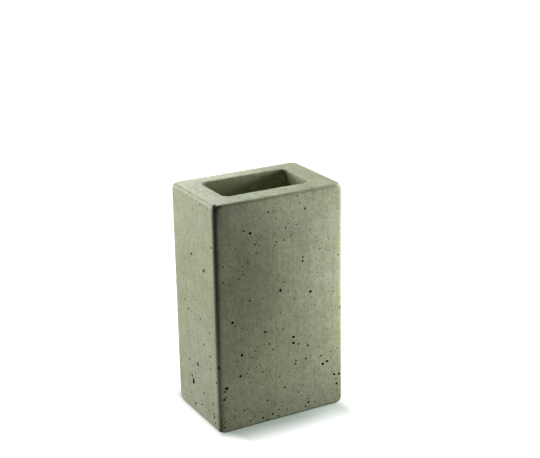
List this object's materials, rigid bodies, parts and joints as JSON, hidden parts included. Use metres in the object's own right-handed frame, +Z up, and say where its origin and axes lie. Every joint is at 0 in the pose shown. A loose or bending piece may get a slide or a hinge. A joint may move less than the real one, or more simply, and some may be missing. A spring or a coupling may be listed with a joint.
{
  "type": "toothbrush holder",
  "caption": "Upright rectangular block of cast concrete with a deep open pocket that holds toothbrushes, standing on thin cork pads.",
  "frame": {"origin": "centre of the block's footprint, on the surface that its pads stand on", "axes": "+Z up; +X along the width, to the right for someone who faces the front; the front face looks along -Y"},
  "size_m": [0.076, 0.051, 0.128],
  "materials": {
    "concrete": "fine cast concrete, sealed to a low satin sheen, with scattered air holes",
    "cork": "matt agglomerated cork",
    "adhesive": "dull translucent film"
  },
  "bodies": {
    "root": {"concrete_body": "concrete", "cork_pad_front_left": "cork", "cork_pad_front_right": "cork", "cork_pad_rear_left": "cork", "cork_pad_rear_right": "cork", "adhesive_disc_front_left": "adhesive", "adhesive_disc_front_right": "adhesive", "adhesive_disc_rear_left": "adhesive", "adhesive_disc_rear_right": "adhesive"}
  },
  "joints": []
}
